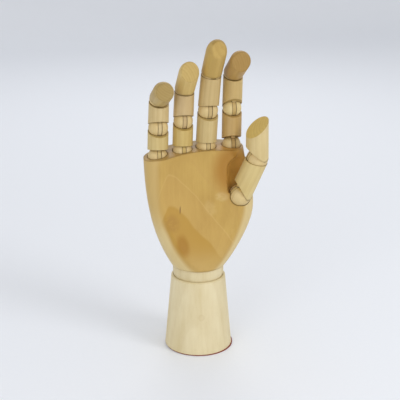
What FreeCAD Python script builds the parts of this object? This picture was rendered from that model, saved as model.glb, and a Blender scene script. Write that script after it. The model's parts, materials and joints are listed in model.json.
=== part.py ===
import FreeCAD, Part
import math
import os

os.makedirs("parts", exist_ok=True)

V = FreeCAD.Vector
UP = V(0, 0, 1)
SIDE = V(1, 0, 0)
DEPTH = V(0, 1, 0)
ORIGIN = V(0, 0, 0)

# General fits
overrun = 60.0
run_gap = 0.25
seat_gap = 0.06
pin_gap = 0.05
peg_gap = 0.08

# Foot, its pad and the wrist
pad_thickness = 1.2
pad_radius = 32.2
pad_offset_side = 0.9
pad_offset_back = 0.5
foot_bottom_radius = 32.0
foot_top_radius = 25.6
foot_height = 72.0
foot_edge = 1.0
wrist_rise = 6.0
wrist_ball_radius = 24.0
wrist_tongue_radius = 12.5
wrist_tongue_thickness = 9.0
wrist_tongue_reach = 10.0
wrist_swing_angle = 20.0
wrist_pin_radius = 2.5
wrist_pin_half_length = 15.0
recess_radius = 12.0
recess_depth = 32.0
bolt_radius = 3.0
bolt_depth_in_ball = 8.0
bolt_head_flats = 10.0
bolt_head_height = 4.0
washer_radius = 9.0
washer_thickness = 1.6
pin_chamfer_share = 0.3
wrist_centre = foot_height + wrist_rise

# Palm: each row holds shares of the palm's length, half width (left, right) and half depth (front, back),
# and how square the section is
palm_length = 118.85
palm_half_width = 50.0
palm_half_depth = 25.0
palm_rim_height = 4.7
palm_rim_wall = 0.9
palm_row_shares = (
    (0.143, -0.636, 0.686, -0.992, 0.904, 2.1),
    (0.286, -0.780, 0.884, -0.912, 0.808, 2.25),
    (0.455, -0.896, 1.032, -0.824, 0.720, 2.4),
    (0.623, -0.966, 1.032, -0.760, 0.664, 2.5),
    (0.824, -1.008, 0.926, -0.696, 0.616, 2.6),
    (1.077, -1.020, 0.820, -0.640, 0.576, 2.7),
)
palm_row_points = 20
palm_top_radius = 294.0
palm_top_peak_share = 0.34
palm_top_rise_back_share = 0.14
hollow_side_radius = 118.0
hollow_length_radius = 200.0
hollow_reach = 110.0
hollow_floor_share = 0.344
hollow_level_share = 0.724
hollow_side_share = -0.04
hollow_edge_radius = 3.0

# The groove beside the thumb: it runs up from the thumb's ball, with a round end below the index finger
groove_gap = 0.8
groove_low_radius = 11.9
groove_high_radius = 12.4
groove_rise = 26.5
groove_side_lean = 1.5
groove_front_lean = 6.8
groove_swing_angle = 13.0
groove_swing_start = 3.0

# Joints shared by the fingers and the thumb
peg_radius = 3.6
peg_length = 7.5
pin_radius = 1.0
pin_bite = 3.2
pin_end_gap = 0.1
ball_inset = 0.45
tongue_inset = 0.5
tongue_thickness = 3.4
slot_gap = 0.15
tongue_reach_share = 0.66
slot_floor_share = 0.82
rim_gap = 0.3
dome_steps = 6

# Fingers: sink and gap are the depth of the knuckle's centre under the palm's top and the room above it;
# rakes are the bevels of the three lower rims, heads those of the two upper rims, and bends are the
# photograph's; start_share says how far behind the axis, in radii, the lower bevels begin
fingers = {
    "little": dict(side_share=-0.755, sink=1.7, gap=1.3, spread=2.0, turn=0.5, radius=9.4, top_radius=9.0,
                   tip_radius=9.3, near=26.9, middle=25.9, tip=28.5, bends=(-1.0, 2.0, 59.0),
                   rakes=(7.6, 21.3, 18.6), heads=(21.3, 18.6), start_share=1.0, dome_share=0.95,
                   facet_angle=19.0, facet_level=25.0, facet_turn=0.0),
    "ring": dict(side_share=-0.295, sink=1.4, gap=0.6, spread=2.1, turn=-1.0, radius=9.2, top_radius=9.0,
                 tip_radius=9.0, near=28.0, middle=28.5, tip=35.4, bends=(-1.0, 3.5, 38.0),
                 rakes=(7.6, 23.0, 10.9), heads=(21.3, 10.9), start_share=0.9, dome_share=1.35,
                 facet_angle=42.0, facet_level=30.0, facet_turn=0.0),
    "middle": dict(side_share=0.148, sink=-0.1, gap=1.5, spread=2.6, turn=1.5, radius=9.5, top_radius=9.2,
                   tip_radius=9.3, near=33.7, middle=34.5, tip=36.8, bends=(2.0, 6.0, 21.5),
                   rakes=(7.6, 21.3, 6.6), heads=(21.3, 6.6), start_share=1.0, dome_share=1.35,
                   facet_angle=56.0, facet_level=38.0, facet_turn=0.0),
    "index": dict(side_share=0.63, sink=-0.4, gap=4.0, spread=1.0, turn=0.5, radius=9.0, top_radius=8.9,
                  tip_radius=9.2, near=34.0, middle=32.1, tip=34.8, bends=(-1.5, 2.5, 54.0),
                  rakes=(22.0, 38.0, 17.4), heads=(21.3, 17.4), start_share=0.45, dome_share=1.05,
                  facet_angle=40.0, facet_level=29.5, facet_turn=0.0),
}

# Thumb: it leans out to the side and forwards, and its palm side faces the little finger
thumb_side_share = 0.752
thumb_front_share = -0.38
thumb_level_share = 0.607
thumb = dict(lean_side=19.8, lean_front=13.1, turn=-80.0, radius=10.75, top_radius=10.4, tip_radius=10.0,
             near=40.1, tip=54.0, bends=(0.0, 25.0), rakes=(42.0, 44.0), heads=(9.7,), start_share=0.35,
             dome_share=1.05, facet_angle=37.7, facet_level=33.3, facet_turn=0.0)


def half_space(y, z, angle, keep_up):
    # a block whose face passes through y, z and rises towards the palm side
    # keep_up: the block fills the room above that face
    size = 2 * overrun
    block = Part.makeBox(size, size, size, V(-overrun, -overrun, 0 if keep_up else -size))
    block.rotate(ORIGIN, SIDE, -angle)
    block.translate(V(0, y, z))
    return block


def cylinder_along(start, direction, radius, length):
    return Part.makeCylinder(radius, length, start, direction)


def cross_pin(radius, half_length):
    pin = cylinder_along(V(-half_length, 0, 0), SIDE, radius, 2 * half_length)
    rims = [e for e in pin.Edges if e.Curve.TypeId == "Part::GeomCircle"]
    return pin.makeChamfer(radius * pin_chamfer_share, rims)


def pin_half_length():
    return tongue_thickness / 2 + slot_gap + pin_bite


def slotted_ball(radius):
    # a ball with its peg; the slot takes the tongue of the next segment, the closed bore takes the pin
    tongue = radius - tongue_inset
    slot = tongue_thickness / 2 + slot_gap
    ball = Part.makeSphere(radius)
    peg = cylinder_along(V(0, 0, -radius - peg_length), UP, peg_radius, radius + peg_length)
    ball = ball.fuse(peg)
    floor = slot_floor_share * radius
    cut = Part.makeBox(2 * slot, 2 * overrun, overrun + floor, V(-slot, -overrun, -floor))
    round_cut = cylinder_along(V(-slot, 0, 0), SIDE, tongue + run_gap, 2 * slot)
    ball = ball.cut(cut.fuse(round_cut))
    half = pin_half_length() + pin_end_gap
    return ball.cut(cylinder_along(V(-half, 0, 0), SIDE, pin_radius + pin_gap, 2 * half))


def foot_of_segment(body, radius, rake, start, lift):
    # the lower end that turns round its ball: bevelled rim, round recess and a tongue in the ball's slot
    ball = radius - ball_inset
    tongue = ball - tongue_inset
    body = body.cut(half_space(start * radius, lift, rake, False))
    body = body.cut(half_space(0, lift, 0, False))
    body = body.cut(Part.makeSphere(ball + run_gap))
    disc = cylinder_along(V(-tongue_thickness / 2, 0, 0), SIDE, tongue, tongue_thickness)
    reach = tongue_reach_share * ball
    root = Part.makeBox(tongue_thickness, 2 * reach, ball + 2 * run_gap, V(-tongue_thickness / 2, -reach, 0))
    bore = cylinder_along(V(-tongue_thickness / 2, 0, 0), SIDE, pin_radius + pin_gap, tongue_thickness)
    return body.fuse(disc.fuse(root).cut(bore))


def head_of_segment(body, radius, length, rake):
    # the upper end: bevelled rim, seat of the next ball and hole for its peg
    ball = radius - ball_inset
    body = body.cut(half_space(radius, length - rim_gap, -rake, True))
    body = body.cut(Part.makeSphere(ball + seat_gap, V(0, 0, length)))
    depth = ball + peg_length + run_gap
    return body.cut(cylinder_along(V(0, 0, length - depth), UP, peg_radius + peg_gap, depth))


def segment(low_radius, high_radius, length, low_rake, high_rake, start, lift):
    side = Part.makePolygon([ORIGIN, V(low_radius, 0, 0), V(high_radius, 0, length), V(0, 0, length), ORIGIN])
    body = Part.Face(side).revolve(ORIGIN, UP, 360)
    body = head_of_segment(body, high_radius, length, high_rake)
    return foot_of_segment(body, low_radius, low_rake, start, lift)


def tip_segment(row, low_radius):
    # the last segment: a turned dome with a sloping flat on the palm side
    radius, length = row["tip_radius"], row["tip"]
    dome = row["dome_share"] * radius
    shoulder = length - dome
    points = []
    for i in range(dome_steps + 1):
        t = math.pi / 2 * i / dome_steps
        points.append(V(radius * math.cos(t), 0, shoulder + dome * math.sin(t)))
    curve = Part.BSplineCurve()
    curve.interpolate(points, InitialTangent=UP, FinalTangent=-SIDE)
    side = Part.makeLine(V(low_radius, 0, 0), points[0])
    axis = Part.makeLine(points[-1], ORIGIN)
    bottom = Part.makeLine(ORIGIN, V(low_radius, 0, 0))
    body = Part.Face(Part.Wire([side, curve.toShape(), axis, bottom])).revolve(ORIGIN, UP, 360)
    facet = half_space(0, 0, -row["facet_angle"], True)
    facet.rotate(ORIGIN, UP, row["facet_turn"])
    facet.translate(V(0, 0, row["facet_level"]))
    body = body.cut(facet)
    return foot_of_segment(body, low_radius, row["rakes"][-1], row["start_share"], rim_gap)


def placed(shape, placement):
    copy = shape.copy()
    copy.Placement = placement
    return copy


def bend(angle):
    return FreeCAD.Placement(ORIGIN, FreeCAD.Rotation(SIDE, angle))


def shift(length):
    return FreeCAD.Placement(V(0, 0, length), FreeCAD.Rotation())


def add_joint(out, name, radius, placement):
    ball = radius - ball_inset
    out[name + "_ball"] = placed(slotted_ball(ball), placement)
    out[name + "_pin"] = placed(cross_pin(pin_radius, pin_half_length()), placement)


def palm_height(side):
    # the palm's top is an arch that is highest near the middle finger
    run = side - palm_top_peak_share * palm_half_width
    return wrist_centre + palm_length - palm_top_radius + math.sqrt(palm_top_radius ** 2 - run ** 2)


def finger_base(row):
    side = row["side_share"] * palm_half_width
    turn = FreeCAD.Rotation(DEPTH, row["spread"]) * FreeCAD.Rotation(UP, row["turn"])
    return FreeCAD.Placement(V(side, 0, palm_height(side) - row["sink"]), turn)


def thumb_base():
    place = V(thumb_side_share * palm_half_width, thumb_front_share * palm_half_depth,
              wrist_centre + thumb_level_share * palm_length)
    lean = FreeCAD.Rotation(DEPTH, thumb["lean_side"]) * FreeCAD.Rotation(SIDE, thumb["lean_front"])
    return FreeCAD.Placement(place, lean * FreeCAD.Rotation(UP, thumb["turn"]))


def add_finger(out, name, row):
    base = finger_base(row)
    radius, high = row["radius"], row["top_radius"]
    first, second, third = row["bends"]
    start = row["start_share"]
    slope = (row["side_share"] - palm_top_peak_share) * palm_half_width / palm_top_radius
    slope -= math.tan(math.radians(row["spread"]))
    lift = row["sink"] + radius * math.hypot(slope, palm_top_rise_back_share) + row["gap"]
    near = segment(radius, radius, row["near"], row["rakes"][0], row["heads"][0], start, lift)
    middle = segment(radius, high, row["middle"], row["rakes"][1], row["heads"][1], start, rim_gap)
    at_near = base * bend(first)
    at_middle = at_near * shift(row["near"]) * bend(second)
    at_tip = at_middle * shift(row["middle"]) * bend(third)
    add_joint(out, name + "_knuckle", radius, base)
    out[name + "_near"] = placed(near, at_near)
    add_joint(out, name + "_middle_joint", radius, at_near * shift(row["near"]))
    out[name + "_middle"] = placed(middle, at_middle)
    add_joint(out, name + "_end_joint", high, at_middle * shift(row["middle"]))
    out[name + "_tip"] = placed(tip_segment(row, high), at_tip)


def add_thumb(out):
    base = thumb_base()
    first, second = thumb["bends"]
    at_near = base * bend(first)
    at_tip = at_near * shift(thumb["near"]) * bend(second)
    radius, high = thumb["radius"], thumb["top_radius"]
    add_joint(out, "thumb_root", radius, base)
    near = segment(radius, high, thumb["near"], thumb["rakes"][0], thumb["heads"][0],
                   thumb["start_share"], rim_gap)
    out["thumb_near"] = placed(near, at_near)
    add_joint(out, "thumb_joint", high, at_near * shift(thumb["near"]))
    out["thumb_tip"] = placed(tip_segment(thumb, high), at_tip)


def palm_section(height, left, right, front, back, square):
    middle, half = (left + right) / 2, (right - left) / 2
    centre, depth = (front + back) / 2, (back - front) / 2
    points = []
    for i in range(palm_row_points):
        t = 2 * math.pi * i / palm_row_points
        c, s = math.cos(t), math.sin(t)
        x = middle + half * math.copysign(abs(c) ** (2 / square), c)
        y = centre + depth * math.copysign(abs(s) ** (2 / square), s)
        points.append(V(x, y, height))
    curve = Part.BSplineCurve()
    curve.interpolate(points, PeriodicFlag=True)
    return Part.Wire(curve.toShape())


def palm_sections():
    rim = wrist_ball_radius + palm_rim_wall
    sections = [palm_section(wrist_centre + palm_rim_height, -rim, rim, -rim, rim, 2)]
    for height, left, right, front, back, square in palm_row_shares:
        sections.append(palm_section(
            wrist_centre + height * palm_length, left * palm_half_width, right * palm_half_width,
            front * palm_half_depth, back * palm_half_depth, square))
    return sections


def hollow_tool():
    # the shallow scoop of the palm's front: an arc along the hand, swept round an upright axis in front of it
    level = wrist_centre + hollow_level_share * palm_length
    floor = -hollow_floor_share * palm_half_depth
    low, high = level - hollow_reach, level + hollow_reach

    def point(height):
        drop = hollow_length_radius - math.sqrt(hollow_length_radius ** 2 - (height - level) ** 2)
        return V(hollow_side_radius - drop, 0, height)

    arc = Part.Arc(point(low), point(level), point(high)).toShape()
    top = Part.makeLine(point(high), V(0, 0, high))
    axis = Part.makeLine(V(0, 0, high), V(0, 0, low))
    bottom = Part.makeLine(V(0, 0, low), point(low))
    tool = Part.Face(Part.Wire([arc, top, axis, bottom])).revolve(ORIGIN, UP, 360)
    tool.translate(V(hollow_side_share * palm_half_width, floor - hollow_side_radius, 0))
    return tool


def soften_hollow(body):
    # rounds the ridge where the hollow meets the palm's sides
    round_kinds = ("Part::GeomToroid", "Part::GeomSurfaceOfRevolution")
    edges = []
    for edge in body.Edges:
        faces = body.ancestorsOfType(edge, Part.Face)
        round_faces = [f for f in faces if f.Surface.TypeId in round_kinds]
        flat_faces = [f for f in faces if f.Surface.TypeId == "Part::GeomPlane"]
        if len(round_faces) == 1 and not flat_faces:
            edges.append(edge)
    return body.makeFillet(hollow_edge_radius, edges)


def socket(radius, placement):
    ball = radius - ball_inset
    depth = ball + peg_length + run_gap
    tool = Part.makeSphere(ball + run_gap)
    tool = tool.fuse(cylinder_along(V(0, 0, -depth), UP, peg_radius + peg_gap, depth))
    return placed(tool, placement)


def thumb_grooves():
    # the room in which the thumb's near segment leans and swings, and a tapered groove with round ends
    base = thumb_base()
    run = V(-groove_side_lean, -groove_front_lean, groove_rise)
    low, high = groove_low_radius, groove_high_radius
    tool = Part.makeCone(low, high, run.Length, base.Base, run)
    tool = tool.fuse(Part.makeSphere(low, base.Base))
    tool = tool.fuse(Part.makeSphere(high, base.Base + run))
    tool = tool.cut(placed(half_space(0, -rim_gap, 0, False), base))
    wide = thumb["radius"] + groove_gap
    room = placed(cylinder_along(V(0, 0, -rim_gap), UP, wide, overrun), base)
    swung = cylinder_along(V(0, 0, groove_swing_start), UP, wide, overrun)
    return [room, placed(swung, base * bend(groove_swing_angle)), tool]


def palm_top():
    # all that lies above the arch, which leans so that the back of the hand stands higher
    def point(side):
        return V(side, -overrun, palm_height(side) + palm_top_rise_back_share * -overrun)

    arch = Part.Arc(point(-overrun), point(0), point(overrun)).toShape()
    high = V(0, 0, overrun)
    left = Part.makeLine(point(-overrun), point(-overrun) + high)
    over = Part.makeLine(point(-overrun) + high, point(overrun) + high)
    right = Part.makeLine(point(overrun) + high, point(overrun))
    face = Part.Face(Part.Wire([arch, right, over, left]))
    return face.extrude(V(0, 2 * overrun, palm_top_rise_back_share * 2 * overrun))


def palm():
    body = Part.makeLoft(palm_sections(), True, False)
    body = body.cut(hollow_tool())
    body = soften_hollow(body)
    body = body.cut(palm_top())
    for tool in thumb_grooves():
        body = body.cut(tool)
    for row in fingers.values():
        body = body.cut(socket(row["radius"], finger_base(row)))
    body = body.cut(socket(thumb["radius"], thumb_base()))
    body = body.cut(Part.makeSphere(wrist_ball_radius + run_gap, V(0, 0, wrist_centre)))
    start = V(-wrist_tongue_thickness / 2, 0, 0)
    tongue = cylinder_along(start, SIDE, wrist_tongue_radius, wrist_tongue_thickness)
    height = wrist_ball_radius + 2 * run_gap
    root = Part.makeBox(wrist_tongue_thickness, 2 * wrist_tongue_reach, height,
                        V(-wrist_tongue_thickness / 2, -wrist_tongue_reach, 0))
    tongue = tongue.fuse(root)
    tongue = tongue.cut(cylinder_along(start, SIDE, wrist_pin_radius + pin_gap, wrist_tongue_thickness))
    tongue.translate(V(0, 0, wrist_centre))
    return body.fuse(tongue)


def wrist_ball():
    # the slot fans out just enough for the palm's tongue to swing, so the ball's visible band stays whole
    ball = Part.makeSphere(wrist_ball_radius)
    slot = wrist_tongue_thickness / 2 + run_gap
    half = wrist_tongue_reach / math.cos(math.radians(wrist_swing_angle)) + run_gap
    wide = half + wrist_ball_radius * math.tan(math.radians(wrist_swing_angle))
    fan = Part.makePolygon([V(-slot, -half, 0), V(-slot, half, 0), V(-slot, wide, wrist_ball_radius),
                            V(-slot, -wide, wrist_ball_radius), V(-slot, -half, 0)])
    cut = Part.Face(fan).extrude(V(2 * slot, 0, 0))
    cut = cut.fuse(cylinder_along(V(-slot, 0, 0), SIDE, wrist_tongue_radius + run_gap, 2 * slot))
    ball = ball.cut(cut)
    bore = wrist_pin_half_length + pin_end_gap
    ball = ball.cut(cylinder_along(V(-bore, 0, 0), SIDE, wrist_pin_radius + pin_gap, 2 * bore))
    bolt_hole = bolt_tip() + run_gap + overrun
    ball = ball.cut(cylinder_along(V(0, 0, -overrun), UP, bolt_radius + pin_gap, bolt_hole))
    ball.translate(V(0, 0, wrist_centre))
    return ball


def bolt_tip():
    # height of the bolt's end, seen from the wrist ball's centre
    return bolt_depth_in_ball - wrist_ball_radius


def foot():
    profile = Part.makePolygon([
        V(0, 0, pad_thickness), V(foot_bottom_radius, 0, pad_thickness),
        V(foot_top_radius, 0, foot_height - foot_edge), V(foot_top_radius - foot_edge, 0, foot_height),
        V(0, 0, foot_height), V(0, 0, pad_thickness)])
    body = Part.Face(profile).revolve(ORIGIN, UP, 360)
    body = body.cut(Part.makeSphere(wrist_ball_radius + run_gap, V(0, 0, wrist_centre)))
    body = body.cut(cylinder_along(ORIGIN, UP, recess_radius, recess_depth))
    return body.cut(cylinder_along(ORIGIN, UP, bolt_radius + run_gap, foot_height))


def bolt():
    # the head is a hexagon: its corners lie on a circle round the axis
    across = bolt_head_flats / math.sqrt(3)
    turns = [math.radians(angle) for angle in range(0, 361, 60)]
    corners = [V(across * math.cos(turn), across * math.sin(turn), 0) for turn in turns]
    under = recess_depth - washer_thickness - 2 * seat_gap - bolt_head_height
    length = wrist_centre + bolt_tip() - under
    shape = Part.Face(Part.makePolygon(corners)).extrude(V(0, 0, bolt_head_height))
    shape = shape.fuse(cylinder_along(ORIGIN, UP, bolt_radius, length))
    shape.translate(V(0, 0, under))
    return shape


def washer():
    ring = cylinder_along(ORIGIN, UP, washer_radius, washer_thickness)
    ring = ring.cut(cylinder_along(ORIGIN, UP, bolt_radius + run_gap, washer_thickness))
    ring.translate(V(0, 0, recess_depth - washer_thickness - seat_gap))
    return ring


def pad():
    return cylinder_along(V(pad_offset_side, pad_offset_back, 0), UP, pad_radius, pad_thickness)


def pieces():
    out = {}
    out["base_pad"] = pad()
    out["foot"] = foot()
    out["wrist_bolt"] = bolt()
    out["wrist_washer"] = washer()
    out["wrist_ball"] = wrist_ball()
    out["wrist_pin"] = cross_pin(wrist_pin_radius, wrist_pin_half_length)
    out["wrist_pin"].translate(V(0, 0, wrist_centre))
    out["palm"] = palm()
    for name, row in fingers.items():
        add_finger(out, name, row)
    add_thumb(out)
    return out


for name, shape in pieces().items():
    shape.exportStep("parts/" + name + ".step")
    print(name, len(shape.Solids), shape.isValid(), round(shape.Volume, 1))
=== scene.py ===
import bpy
import json
import math
from mathutils import Euler, Matrix, Vector

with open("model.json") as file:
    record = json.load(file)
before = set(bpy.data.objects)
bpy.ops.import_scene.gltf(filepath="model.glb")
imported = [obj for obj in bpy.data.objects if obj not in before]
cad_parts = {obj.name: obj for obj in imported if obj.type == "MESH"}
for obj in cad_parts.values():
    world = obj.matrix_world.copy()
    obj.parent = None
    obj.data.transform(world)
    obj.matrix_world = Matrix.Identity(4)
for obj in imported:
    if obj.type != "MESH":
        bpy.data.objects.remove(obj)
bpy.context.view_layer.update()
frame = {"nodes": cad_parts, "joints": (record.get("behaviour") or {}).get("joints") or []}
nodes = frame["nodes"]
joints = {joint["name"]: joint for joint in frame["joints"]}
print("frame loaded:", len(nodes), "nodes")

# The colour Mix node's sockets share their names, so they go by number
mixSockets = {"share": 0, "first": 6, "second": 7, "result": 2}
# A noise varies about this value
noiseMiddle = 0.5


class Number:
    # a socket that can stand in a Python expression
    def __init__(self, paint, socket):
        self.paint = paint
        self.socket = socket

    def using(self, operation, *others):
        ins = dict(enumerate((self,) + others))
        return self.paint.node("ShaderNodeMath", {"operation": operation}, ins)

    def reflected(self, operation, other):
        return self.paint.node("ShaderNodeMath", {"operation": operation}, {0: other, 1: self})

    def __add__(self, other):
        return self.using("ADD", other)

    def __sub__(self, other):
        return self.using("SUBTRACT", other)

    def __mul__(self, other):
        return self.using("MULTIPLY", other)

    def __truediv__(self, other):
        return self.using("DIVIDE", other)

    def __rsub__(self, other):
        return self.reflected("SUBTRACT", other)

    def __rtruediv__(self, other):
        return self.reflected("DIVIDE", other)

    __radd__ = __add__
    __rmul__ = __mul__

    def between(self, low, high):
        # 0 below low, 1 above high, smooth in between
        ins = {"Value": self, "From Min": low, "From Max": high}
        return self.paint.node("ShaderNodeMapRange", {"interpolation_type": "SMOOTHSTEP"}, ins)

    def band(self, start, full, fade, end):
        # 0 up to start, 1 from full to fade, 0 again from end on
        return self.between(start, full) * (1.0 - self.between(fade, end))


class Paint:
    # one material and its nodes
    def __init__(self, name):
        self.material = bpy.data.materials.new(name)
        self.material.use_nodes = True
        self.tree = self.material.node_tree
        self.tree.nodes.clear()

    def node(self, kind, settings=None, inputs=None, output=0):
        made = self.tree.nodes.new(kind)
        for key, value in (settings or {}).items():
            setattr(made, key, value)
        for key, value in (inputs or {}).items():
            socket = made.inputs[key]
            if isinstance(value, Number):
                self.tree.links.new(value.socket, socket)
            else:
                socket.default_value = value
        return Number(self, made.outputs[output]) if output is not None else None

    def objectPlace(self):
        return self.node("ShaderNodeTexCoord", output="Object")

    def objectNormal(self):
        return self.node("ShaderNodeTexCoord", output="Normal")

    def mix(self, share, first, second):
        settings = {"data_type": "RGBA", "blend_type": "MIX"}
        ins = {mixSockets["share"]: share, mixSockets["first"]: first, mixSockets["second"]: second}
        return self.node("ShaderNodeMix", settings, ins, mixSockets["result"])

    def vector(self, operation, first, second=None, scale=None, output=0):
        ins = {0: first}
        if second is not None:
            ins[1] = second
        if scale is not None:
            ins["Scale"] = scale
        return self.node("ShaderNodeVectorMath", {"operation": operation}, ins, output)

    def length(self, vector):
        return self.vector("LENGTH", vector, output="Value")

    def stretched(self, place, share):
        # marks painted with this place are longer along Z, the smaller the share
        return self.vector("MULTIPLY", place, (1.0, 1.0, share))

    def part(self, vector, axis):
        return self.node("ShaderNodeSeparateXYZ", None, {"Vector": vector}, axis)

    def inFrame(self, coords, place, turn, size=(1.0, 1.0, 1.0)):
        # the place as seen from a frame that stands at place, turned and sized like this
        ins = {"Vector": coords, "Location": place, "Rotation": turn, "Scale": size}
        return self.node("ShaderNodeMapping", {"vector_type": "TEXTURE"}, ins)

    def noise(self, place, row, output=0):
        # row gives the marks per metre, how many finer layers there are and how strong they are
        ins = {"Vector": place, "Scale": row["scale"], "Detail": row["detail"], "Roughness": row["fine"]}
        return self.node("ShaderNodeTexNoise", {"noise_dimensions": "3D"}, ins, output)

    def bump(self, height, strength, distance, normal=None):
        ins = {"Strength": strength, "Distance": distance, "Height": height}
        if normal is not None:
            ins["Normal"] = normal
        return self.node("ShaderNodeBump", None, ins)

    def finish(self, color, roughness, normal=None, metallic=0.0):
        ins = {"Base Color": color, "Roughness": roughness, "Metallic": metallic}
        if normal is not None:
            ins["Normal"] = normal
        shader = self.node("ShaderNodeBsdfPrincipled", None, ins)
        self.node("ShaderNodeOutputMaterial", None, {"Surface": shader}, output=None)
        return self.material


# How a screen's colour value turns into light
screen = {"full": 255, "straightTo": 0.04045, "straight": 12.92, "lift": 0.055, "power": 2.4}


def rgb(red, green, blue):
    # a colour as a picture shows it, 0 to 255, turned to Blender's linear values
    def light(value):
        value = value / screen["full"]
        if value <= screen["straightTo"]:
            return value / screen["straight"]
        return ((value + screen["lift"]) / (1 + screen["lift"])) ** screen["power"]
    return (light(red), light(green), light(blue), 1.0)


# Plain wood of each piece as the photograph shows it, before light and shade, save painted shade darkening
# the little and index tips and painted light brightening the index middle-joint ball
pieceColors = {
    "palm": (192, 158, 82), "foot": (221, 208, 170), "wrist_ball": (217, 203, 163),
    # little_tip and index_tip are darkened as painted shade on their end faces
    "little_near": (200, 178, 119), "little_middle": (206, 185, 136), "little_tip": (184, 160, 103),
    "ring_near": (199, 174, 106), "ring_middle": (201, 177, 131), "ring_tip": (210, 184, 119),
    "middle_near": (202, 181, 128), "middle_middle": (197, 173, 120), "middle_tip": (188, 158, 87),
    "index_near": (188, 157, 98), "index_middle": (197, 171, 112), "index_tip": (182, 148, 84),
    "thumb_near": (209, 188, 129), "thumb_tip": (211, 190, 136),
    # index_middle_joint_ball: painted light, brighter than the other balls to lift the shade it sits in
    "index_middle_joint_ball": (223, 204, 150), "ball": (215, 192, 138),
}

# How much of the plain colour the wood's parts keep: red, green, blue
tints = {
    "light": (1.02, 1.02, 1.03), "dark": (0.93, 0.90, 0.82), "late": (0.82, 0.75, 0.60),
    "fibre": (0.82, 0.76, 0.64), "pore": (0.70, 0.62, 0.48),
    "end": (0.83, 0.79, 0.63), "warmEnd": (0.97, 0.91, 0.52),
}

# How strongly each kind of piece shows rings, streaks, blotches and end grain; its ring, warp and edge
# are in metres
# The keys after rough set how strongly a piece takes the painted shade in its joints: the soft darkening,
# then its dark lines
looks = {
    "palm": {
        "ring": 0.0075, "rings": 0.10, "warp": 0.012, "streaks": 0.60, "blotches": 1.10,
        "end": 0.30, "endTint": "end", "endRings": 0.0,
        "rough": 0.46, "jointShade": 0.12, "lines": 0.38, "edge": 0.0025,
    },
    "finger": {
        "ring": 0.0042, "rings": 0.18, "warp": 0.004, "streaks": 0.84, "blotches": 1.00,
        "end": 0.60, "endTint": "end", "endRings": 0.35,
        "rough": 0.50, "jointShade": 1.0, "lines": 0.78, "edge": 0.0006,
    },
    "thumb": {
        "ring": 0.0050, "rings": 0.12, "warp": 0.005, "streaks": 0.64, "blotches": 0.90,
        "end": 0.55, "endTint": "warmEnd", "endRings": 0.20,
        "rough": 0.50, "jointShade": 1.0, "lines": 0.78, "edge": 0.0006,
    },
    "pale": {
        "ring": 0.0080, "rings": 0.10, "warp": 0.012, "streaks": 0.48, "blotches": 0.90,
        "end": 0.20, "endTint": "end", "endRings": 0.0,
        "rough": 0.55, "jointShade": 0.04, "lines": 0.30, "edge": 0.0006,
    },
}
looks["tip"] = dict(looks["finger"], edge=0.0022)

# The grain's noises; drawn is small where the marks are long along the grain
grainNoise = {
    "sway": {"scale": 22.0, "detail": 2.0, "fine": 0.5, "drawn": 0.35},
    "fibres": {"scale": 1500.0, "detail": 3.0, "fine": 0.65, "drawn": 0.05},
    "streaks": {"scale": 330.0, "detail": 3.0, "fine": 0.6, "drawn": 0.05},
    "blotches": {"scale": 52.0, "detail": 3.0, "fine": 0.55, "drawn": 0.45},
    "pores": {"scale": 2600.0, "detail": 1.0, "fine": 0.4, "drawn": 0.12},
}
grain = {
    "seedShift": (1.0, 0.7, 1.3), "ringsDrawn": 0.06, "endTurns": 2.0, "balance": 0.42,
    "late": (0.25, 0.92, 0.92, 1.0), "ends": (0.55, 0.80),
    "pores": (0.66, 0.76), "poresShow": 0.12, "fibres": (0.02, 0.35), "fibresShow": 0.14,
    "fibresHigh": 0.5, "streaksHigh": 0.3, "poresDeep": 0.4, "bump": 0.12, "bumpDepth": 0.0002,
    "roughFibres": 0.12, "roughLate": 0.04, "edgeSamples": 4,
}


def tinted(color, tint):
    return rgb(*[value * share for value, share in zip(color, tints[tint])])


def grainMarks(paint, place, name, output=0):
    row = grainNoise[name]
    return paint.noise(paint.stretched(place, row["drawn"]), row, output)


def growth(paint, local, pith, seed, row):
    # the tree's rings round its pith, the fibres and pores along it, and softer streaks and blotches
    shifted = paint.vector("ADD", local, tuple(seed * share for share in grain["seedShift"]))
    sway = paint.vector("SUBTRACT", grainMarks(paint, shifted, "sway", "Color"), (noiseMiddle,) * 3)
    moved = paint.vector("SCALE", sway, scale=row["warp"])
    away = paint.vector("SUBTRACT", paint.vector("ADD", local, moved), pith)
    years = paint.length(paint.stretched(away, grain["ringsDrawn"])) / row["ring"]
    return {
        "late": years.using("FRACT").band(*grain["late"]),
        "endLate": (years * grain["endTurns"]).using("FRACT").band(*grain["late"]),
        "fibres": grainMarks(paint, shifted, "fibres"),
        "streaks": grainMarks(paint, shifted, "streaks"),
        "blotches": grainMarks(paint, shifted, "blotches"),
        "pores": grainMarks(paint, shifted, "pores").between(*grain["pores"]),
    }


def woodColor(paint, marks, color, row, turn):
    tone = (marks["blotches"] - noiseMiddle) * row["blotches"]
    tone = tone + (marks["streaks"] - noiseMiddle) * row["streaks"] + grain["balance"]
    painted = paint.mix(tone.between(0.0, 1.0), tinted(color, "light"), tinted(color, "dark"))
    painted = paint.mix(marks["late"] * row["rings"], painted, tinted(color, "late"))
    fibres = (marks["fibres"] - noiseMiddle).between(*grain["fibres"])
    painted = paint.mix(fibres * grain["fibresShow"], painted, tinted(color, "fibre"))
    painted = paint.mix(marks["pores"] * grain["poresShow"], painted, tinted(color, "pore"))
    along = Euler(turn).to_matrix().col[2]
    facing = paint.vector("DOT_PRODUCT", paint.objectNormal(), along, output="Value")
    ends = facing.using("ABSOLUTE").between(*grain["ends"])
    painted = paint.mix(ends * row["end"], painted, tinted(color, row["endTint"]))
    return paint.mix(ends * marks["endLate"] * row["endRings"], painted, tinted(color, "late"))


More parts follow.
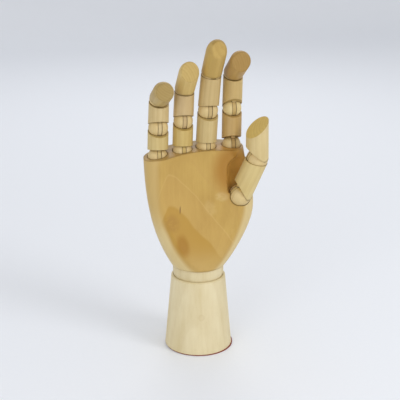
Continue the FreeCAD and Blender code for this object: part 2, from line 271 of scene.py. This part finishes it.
# Painted shade in the joints, metres: dark lines from a ball's seat outwards and along the edges of the
# balls' slots, and a soft darkening where surfaces nearly meet
jointShade = {
    "color": (100, 66, 26), "rough": 0.3, "seat": (-0.0002, 0.0, 0.0002, 0.0008),
    "slotHalf": 0.00185, "slotWidth": 0.0005,
    "tongueIn": 0.00015, "tongueFull": 0.0002, "tongueEnd": 0.0004,
    "reach": 0.004, "closed": (0.35, 0.95), "shade": 0.42, "samples": 8,
}


# dark lines of painted shade where each ball sits in its seat
def seatLines(paint, place, seats):
    lines = []
    for center, radius in seats:
        away = paint.length(paint.vector("SUBTRACT", place, center)) - radius
        lines.append(away.band(*jointShade["seat"]))
    return lines


def slotLines(paint, local, kind, radius):
    # on a ball along its slot's edges, on a segment along the edges of its tongue
    side = paint.part(local, "X").using("ABSOLUTE")
    if kind == "ball":
        return [1.0 - side.between(jointShade["slotHalf"], jointShade["slotHalf"] + jointShade["slotWidth"])]
    edge = side.between(jointShade["slotHalf"] - jointShade["slotWidth"], jointShade["slotHalf"] - jointShade["tongueIn"])
    inside = 1.0 - paint.length(local).between(radius + jointShade["tongueFull"], radius + jointShade["tongueEnd"])
    return [edge * inside]


def jointShadeMask(paint, lines, row):
    # painted shade: a soft darkening where surfaces nearly meet, and the painted dark lines over it
    settings, ins = {"samples": jointShade["samples"]}, {"Distance": jointShade["reach"]}
    openness = paint.node("ShaderNodeAmbientOcclusion", settings, ins, "AO")
    total = (1.0 - openness).between(*jointShade["closed"]) * (jointShade["shade"] * row["jointShade"])
    for line in lines:
        total = total.using("MAXIMUM", line * row["lines"])
    return total


# How softly a spot ends, in shares of its size
spotEdge = (0.45, 1.15)


def spot(paint, coords, mark):
    # 1 inside an oval that runs through the piece from front to back, 0 outside
    side, level = mark["center"]
    wide, high = mark["size"]
    turn = (0.0, math.radians(mark["turn"]), 0.0)
    local = paint.inFrame(coords, (side, 0.0, level), turn, (wide, 1.0, high))
    flat = paint.vector("MULTIPLY", local, (1.0, 0.0, 1.0))
    return 1.0 - paint.length(flat).between(*spotEdge)


# The palm's board: arched rings that fall to both sides of their peak, and a darker heart below them.
# Each ring or heart gives where it starts and ends, how strongly it shows and its colour.
arches = {
    "peakSide": -0.030, "leftSteeper": 2.2, "fall": 1.35, "round": 0.0001, "swayShow": 0.016,
    "sway": {"scale": 28.0, "detail": 2.0, "fine": 0.5},
    "inside": {"edge": (0.1870, 0.1895), "show": 0.22, "color": (188, 148, 80)},
    "line": {"edge": (0.1872, 0.1886, 0.1886, 0.1905), "show": 0.22, "color": (214, 180, 116)},
    "second": {"edge": (0.2160, 0.2185, 0.2185, 0.2230), "show": 0.20, "color": (182, 142, 76)},
    "heart": {"edge": (0.1570, 0.1610), "level": (0.083, 0.104), "show": 0.85, "color": (178, 137, 50)},
    "low": {"edge": (0.086, 0.112), "show": 0.45, "color": (186, 156, 92)},
}
# The carved hollow as in the model, metres: its deepest place and depth, and half of one over its two radii
hollow = {
    "side": -0.002, "level": 0.164, "depth": 0.0086, "acrossBend": 4.24, "alongBend": 2.5,
}
# Painted light: the palm beyond its hollow, its rim, sides and back, is painted paler so these stay light;
# golden at its upper left
litFace = {
    "edge": (0.0006, 0.0050), "show": 0.65, "color": (219, 200, 148),
    "golden": (200, 171, 108), "goldenSide": (-0.030, 0.030), "goldenLevel": (0.110, 0.150),
}
# The darker top of the palm: its end grain, and painted shade where the fingers shadow it
palmTopShade = {"facing": (0.70, 0.95), "level": (0.170, 0.180), "show": 0.55, "color": (160, 124, 64)}
# Marks on the palm: center and size are side and height in metres
palmMarks = {
    "oval": {
        "center": (-0.0188, 0.1078), "size": (0.0068, 0.0118), "turn": -14.0,
        "color": (160, 112, 16), "show": 0.80, "ragged": False,
    },
    "brownPatch": {
        "center": (-0.0280, 0.1290), "size": (0.0080, 0.0100), "turn": -20.0,
        "color": (160, 116, 46), "show": 0.50, "ragged": True,
    },
    "scratch": {
        "center": (-0.0198, 0.1405), "size": (0.0008, 0.0042), "turn": 4.0,
        "color": (120, 84, 40), "show": 0.75, "ragged": False,
    },
    "palePatch": {
        "center": (0.0200, 0.1505), "size": (0.0070, 0.0050), "turn": 0.0,
        "color": (221, 199, 146), "show": 0.30, "ragged": True,
    },
    "middlePatch": {
        "center": (0.0090, 0.1400), "size": (0.0060, 0.0090), "turn": -30.0,
        "color": (210, 181, 122), "show": 0.25, "ragged": True,
    },
    "lowEdge": {
        "center": (-0.0345, 0.1130), "size": (0.0050, 0.0170), "turn": -18.0,
        "color": (200, 176, 124), "show": 0.55, "ragged": False,
    },
    "leftEdge": {
        "center": (-0.0420, 0.1640), "size": (0.0035, 0.0260), "turn": 0.0,
        "color": (186, 154, 92), "show": 0.40, "ragged": False,
    },
}
ragged = {"noise": {"scale": 260.0, "detail": 2.0, "fine": 0.6}, "edge": (0.25, 0.55)}
# Where the marks end behind the palm's front, metres along Y
frontEnds = (-0.002, 0.006)
# Painted shade and light by the thumb: the groove's front painted brown for the thumb's shadow, its wall
# painted lighter and the foot of that wall lighter still to lift the shade there
grooveShade = {
    "center": (0.0290, 0.1770), "size": (0.0200, 0.0300), "turn": 0.0, "show": 0.85,
    "color": (164, 112, 22), "wall": (200, 146, 56), "foot": (250, 196, 90),
    "wallDeep": (0.001, 0.005), "footLevel": (0.156, 0.174), "ends": (0.002, 0.010),
}


def shaded(paint, mask, row, color):
    return paint.mix(mask * row["show"], color, rgb(*row["color"]))


def archRings(paint, coords, x, z, color):
    side = x - arches["peakSide"]
    wide = side.using("MAXIMUM", side * -arches["leftSteeper"])
    sway = (paint.noise(coords, arches["sway"]) - noiseMiddle) * arches["swayShow"]
    arch = z + (wide * wide + arches["round"]).using("SQRT") * arches["fall"] + sway
    heart = arches["heart"]
    masks = {
        "inside": 1.0 - arch.between(*arches["inside"]["edge"]),
        "line": arch.band(*arches["line"]["edge"]),
        "second": arch.band(*arches["second"]["edge"]),
        "heart": (1.0 - arch.between(*heart["edge"])) * z.between(*heart["level"]),
        "low": 1.0 - z.between(*arches["low"]["edge"]),
    }
    for name, mask in masks.items():
        color = shaded(paint, mask, arches[name], color)
    return color


def markedFront(paint, coords, y, color):
    front = 1.0 - y.between(*frontEnds)
    for mark in palmMarks.values():
        here = spot(paint, coords, mark) * front
        if mark["ragged"]:
            here = here * paint.noise(coords, ragged["noise"]).between(*ragged["edge"])
        color = shaded(paint, here, mark, color)
    return color


# the palm's wood figure and marks, with painted light on the face beside the hollow and painted shade on
# its top and in the thumb's groove
def palmFigureAndShading(paint, coords, color):
    x, y, z = (paint.part(coords, axis) for axis in "XYZ")
    color = archRings(paint, coords, x, z, color)
    color = markedFront(paint, coords, y, color)
    across = x - hollow["side"]
    along = z - hollow["level"]
    floor = across * across * -hollow["acrossBend"] - along * along * hollow["alongBend"] - hollow["depth"]
    behind = y - floor
    # painted light: paler wood wherever the surface stands out from the hollow
    golden = (1.0 - x.between(*litFace["goldenSide"])) * z.between(*litFace["goldenLevel"])
    litSides = paint.mix(golden, rgb(*litFace["color"]), rgb(*litFace["golden"]))
    color = paint.mix(behind.between(*litFace["edge"]) * litFace["show"], color, litSides)
    # painted shade on the palm's upward top, together with the end grain's darker tone
    upward = paint.part(paint.objectNormal(), "Z").between(*palmTopShade["facing"])
    color = shaded(paint, upward * z.between(*palmTopShade["level"]), palmTopShade, color)
    # painted light on the groove's wall, lightest at its foot, and painted shade in brown on the groove's
    # front
    wall = paint.mix(z.between(*grooveShade["footLevel"]), rgb(*grooveShade["foot"]), rgb(*grooveShade["wall"]))
    brown = paint.mix(behind.between(*grooveShade["wallDeep"]), rgb(*grooveShade["color"]), wall)
    here = spot(paint, coords, grooveShade) * (1.0 - y.between(*grooveShade["ends"]))
    return paint.mix(here * grooveShade["show"], color, brown)


knot = {
    "center": (-0.0039, 0.0381), "size": (0.0030, 0.0034), "turn": 0.0,
    "noise": {"scale": 420.0, "detail": 2.0, "fine": 0.6},
    "ring": {"show": 1.0, "color": (176, 150, 104)}, "heart": {"show": 0.25, "color": (204, 182, 136)},
}


def footFigure(paint, coords, color):
    # a small pale knot near the foot's front
    here = spot(paint, coords, knot)
    ring = here * (1.0 - here) * paint.noise(coords, knot["noise"])
    color = shaded(paint, ring, knot["ring"], color)
    return shaded(paint, here, knot["heart"], color)


def assign(node, material):
    mesh = nodes[node].data
    mesh.materials.clear()
    mesh.materials.append(material)


def dress(node, look, frameOf, pith, seed, seats=(), slots=None, figureAndShading=None, seatsInPiece=True):
    # solid wood: frameOf gives the piece's own place and turn, with the grain along its Z, and pith the
    # tree's heart in that frame; the seats' centers are in it too, or else in object coordinates
    row = looks[look]
    color = pieceColors.get(node, pieceColors["ball"])
    place, turn = frameOf
    paint = Paint(node + "Wood")
    coords = paint.objectPlace()
    local = paint.inFrame(coords, place, turn)
    marks = growth(paint, local, pith, seed, row)
    painted = woodColor(paint, marks, color, row, turn)
    # a figure may bring painted light and shade as well as wood figure, as the palm's does
    if figureAndShading:
        painted = figureAndShading(paint, coords, painted)
    lines = seatLines(paint, local if seatsInPiece else coords, seats)
    if slots:
        lines += slotLines(paint, local, *slots)
    # painted shade in the joints: dark lines at seats and slots over a soft darkening where surfaces nearly
    # meet
    dark = jointShadeMask(paint, lines, row)
    painted = paint.mix(dark, painted, rgb(*jointShade["color"]))
    rough = (marks["fibres"] - noiseMiddle) * grain["roughFibres"] + marks["late"] * grain["roughLate"]
    height = marks["fibres"] * grain["fibresHigh"] + marks["streaks"] * grain["streaksHigh"]
    height = height - marks["pores"] * grain["poresDeep"]
    edges = paint.node("ShaderNodeBevel", {"samples": grain["edgeSamples"]}, {"Radius": row["edge"]})
    normal = paint.bump(height, grain["bump"], grain["bumpDepth"], edges)
    assign(node, paint.finish(painted, rough + dark * jointShade["rough"] + row["rough"], normal))


def jointFrame(stem, direction):
    # the frame of a piece that turns about this joint, with its grain along direction
    along = Vector(direction).normalized()
    front = along.cross(Vector(joints[stem]["axis"])).normalized()
    across = front.cross(along).normalized()
    turn = Matrix((across, front, along)).transposed()
    return Vector(joints[stem]["pos_m"]), turn.to_euler()


def ballRadius(node, stem):
    # half the ball's width along its pin
    center, axis = Vector(joints[stem]["pos_m"]), Vector(joints[stem]["axis"]).normalized()
    return max(abs((v.co - center).dot(axis)) for v in nodes[node].data.vertices)


# How far the tree's heart lies from each segment, metres, and how it turns from one to the next, radians
limb = {"pithAway": 0.016, "pithTurn": 2.1, "ballPith": (0.03, 0.01, 0.0), "ballSeed": 5}


def dressLimb(look, tipLook, parts, balls, stems, tipBend, seed):
    # parts from the palm outwards; each turns on the ball before it and carries the next ball
    spots = [Vector(joints[stem]["pos_m"]) for stem in stems]
    ways = [b - a for a, b in zip(spots, spots[1:])]
    last = Matrix.Rotation(math.radians(tipBend), 3, Vector(joints[stems[-1]]["axis"]))
    ways.append(last @ ways[-1])
    radii = [ballRadius(ball, stem) for ball, stem in zip(balls, stems)]
    kinds = [look] * (len(parts) - 1) + [tipLook]
    for i, (part, kind, stem, way) in enumerate(zip(parts, kinds, stems, ways)):
        seats = [((0.0, 0.0, 0.0), radii[i])]
        if i + 1 < len(parts):
            seats.append(((0.0, 0.0, way.length), radii[i + 1]))
        angle = seed + limb["pithTurn"] * i
        pith = (limb["pithAway"] * math.cos(angle), limb["pithAway"] * math.sin(angle), 0.0)
        dress(part, kind, jointFrame(stem, way), pith, seed + i, seats, ("segment", radii[i]))
    for i, (ball, stem) in enumerate(zip(balls, stems)):
        frameOf = jointFrame(stem, ways[max(i - 1, 0)])
        dress(ball, look, frameOf, limb["ballPith"], seed + limb["ballSeed"] + i, slots=("ball", radii[i]))
    return spots[0], radii[0]


pinWire = {
    "light": (150, 146, 140), "dark": (110, 104, 96), "rough": 0.32, "marksRough": 0.2,
    "marks": {"scale": 900.0, "detail": 2.0, "fine": 0.5},
}
thinFelt = {
    "light": (148, 66, 40), "dark": (112, 44, 26), "rough": 0.95, "bump": 0.4, "bumpDepth": 0.0003,
    "fuzz": {"scale": 2500.0, "detail": 3.0, "fine": 0.7},
}


def steel(name):
    paint = Paint(name)
    marks = paint.noise(paint.objectPlace(), pinWire["marks"])
    color = paint.mix(marks, rgb(*pinWire["light"]), rgb(*pinWire["dark"]))
    return paint.finish(color, marks * pinWire["marksRough"] + pinWire["rough"], metallic=1.0)


def felt(name):
    paint = Paint(name)
    fuzz = paint.noise(paint.objectPlace(), thinFelt["fuzz"])
    color = paint.mix(fuzz, rgb(*thinFelt["light"]), rgb(*thinFelt["dark"]))
    normal = paint.bump(fuzz, thinFelt["bump"], thinFelt["bumpDepth"])
    return paint.finish(color, thinFelt["rough"], normal)


# Bends of the last segments in the photograph, degrees; the thumb's joint opens when its angle grows
tipBends = {"little": 59.0, "ring": 38.0, "middle": 21.5, "index": 54.0}
thumbTipBend = -25.0
seeds = {"finger": 3.0, "thumb": 21.0, "palm": 7.0, "foot": 8.0, "wrist_ball": 9.0}
socketRoom = 0.0003
metal = steel("pinSteel")
for node in nodes:
    if node.endswith("_pin") or node in ("wrist_bolt", "wrist_washer"):
        assign(node, metal)
assign("base_pad", felt("padFelt"))
sockets = []
for count, (name, tipBend) in enumerate(tipBends.items(), 1):
    stems = [name + "_" + joint + "_bend" for joint in ("knuckle", "middle", "end")]
    balls = [name + "_" + ball + "_ball" for ball in ("knuckle", "middle_joint", "end_joint")]
    parts = [name + "_" + part for part in ("near", "middle", "tip")]
    sockets.append(dressLimb("finger", "tip", parts, balls, stems, tipBend, count * seeds["finger"]))
sockets.append(dressLimb(
    "thumb", "thumb", ["thumb_near", "thumb_tip"], ["thumb_root_ball", "thumb_joint_ball"],
    ["thumb_root_bend", "thumb_joint_bend"], thumbTipBend, seeds["thumb"]))
print("fingers and thumb dressed")

# The upright pieces: level is where a piece's own frame stands, pith the tree's heart, metres
upright = (0.0, 0.0, 0.0)
blocks = {
    "palm": {"look": "palm", "level": 0.12, "pith": (-0.010, 0.075, 0.0), "figureAndShading": palmFigureAndShading},
    "foot": {"look": "pale", "level": 0.04, "pith": (0.02, 0.07, 0.0), "figureAndShading": footFigure},
    "wrist_ball": {"look": "pale", "level": 0.078, "pith": (-0.03, 0.05, 0.0), "figureAndShading": None},
}
palmSeats = [(tuple(center), radius + socketRoom) for center, radius in sockets]
for node, block in blocks.items():
    seats = palmSeats if node == "palm" else ()
    frameOf = ((0.0, 0.0, block["level"]), upright)
    dress(node, block["look"], frameOf, block["pith"], seeds[node], seats,
          figureAndShading=block["figureAndShading"], seatsInPiece=False)
print("palm, wrist and foot dressed")

# Floor with a backdrop that curves up behind it, metres
room = {
    "floor": (238, 241, 247), "fleck": (235, 238, 245), "rough": 0.9,
    "flecks": {"scale": 300.0, "detail": 2.0, "fine": 0.5},
    "half": 4.0, "deep": 1.6, "curve": 0.5, "high": 2.4, "steps": 8,
}


def makeFloor():
    paint = Paint("floorPaint")
    flecks = paint.noise(paint.objectPlace(), room["flecks"])
    material = paint.finish(paint.mix(flecks, rgb(*room["floor"]), rgb(*room["fleck"])), room["rough"])
    rows = [(-room["half"], 0.0), (room["deep"], 0.0)]
    for i in range(1, room["steps"] + 1):
        turn = math.pi / 2 * i / room["steps"]
        y = room["deep"] + room["curve"] * math.sin(turn)
        rows.append((y, room["curve"] * (1.0 - math.cos(turn))))
    rows.append((room["deep"] + room["curve"], room["high"]))
    verts = [(side * room["half"], y, z) for y, z in rows for side in (-1, 1)]
    faces = [(2 * i, 2 * i + 1, 2 * i + 3, 2 * i + 2) for i in range(len(rows) - 1)]
    mesh = bpy.data.meshes.new("floor")
    mesh.from_pydata(verts, [], faces)
    for polygon in mesh.polygons:
        polygon.use_smooth = True
    mesh.materials.append(material)
    floor = bpy.data.objects.new("floor", mesh)
    bpy.context.scene.collection.objects.link(floor)


# Lamps: place and size in metres, power in watts
lamps = {
    "key": {"from": (0.85, -0.95, 0.85), "size": 0.6, "power": 6.0},
    "fill": {"from": (-0.9, -1.1, 0.5), "size": 1.0, "power": 4.5},
    "back": {"from": (0.3, 1.1, 1.0), "size": 0.8, "power": 3.0},
}
lampAim = (0.0, 0.0, 0.15)
around = {"color": (246, 246, 245), "strength": 0.75}


def makeLamp(name, row):
    light = bpy.data.lights.new(name, "AREA")
    light.shape = "DISK"
    light.size = row["size"]
    light.energy = row["power"]
    lamp = bpy.data.objects.new(name, light)
    bpy.context.scene.collection.objects.link(lamp)
    lamp.location = row["from"]
    lamp.rotation_euler = (Vector(lampAim) - Vector(row["from"])).to_track_quat("-Z", "Y").to_euler()


def makeWorld():
    world = bpy.data.worlds.new("room")
    world.use_nodes = True
    back = world.node_tree.nodes["Background"]
    back.inputs["Color"].default_value = rgb(*around["color"])
    back.inputs["Strength"].default_value = around["strength"]
    bpy.context.scene.world = world


# The photograph's view: the camera stands a little on the little finger's side and looks down
view = {
    "azimuth": -14.17, "elevation": 18.6, "distance": 0.930, "target": (0.0018, 0.0, 0.145),
    "lens": 90.0, "sensor": 36.0,
}


def makeCamera():
    turn, tilt = math.radians(view["azimuth"]), math.radians(view["elevation"])
    back = Vector((math.sin(turn) * math.cos(tilt), -math.cos(turn) * math.cos(tilt), math.sin(tilt)))
    data = bpy.data.cameras.new("camera")
    data.lens = view["lens"]
    data.sensor_width = view["sensor"]
    camera = bpy.data.objects.new("camera", data)
    bpy.context.scene.collection.objects.link(camera)
    camera.location = Vector(view["target"]) + back * view["distance"]
    camera.rotation_euler = (-back).to_track_quat("-Z", "Y").to_euler()
    bpy.context.scene.camera = camera


makeFloor()
for name, row in lamps.items():
    makeLamp(name, row)
makeWorld()
makeCamera()
bpy.context.scene.view_settings.view_transform = "Standard"
print("floor, lamps and camera ready")
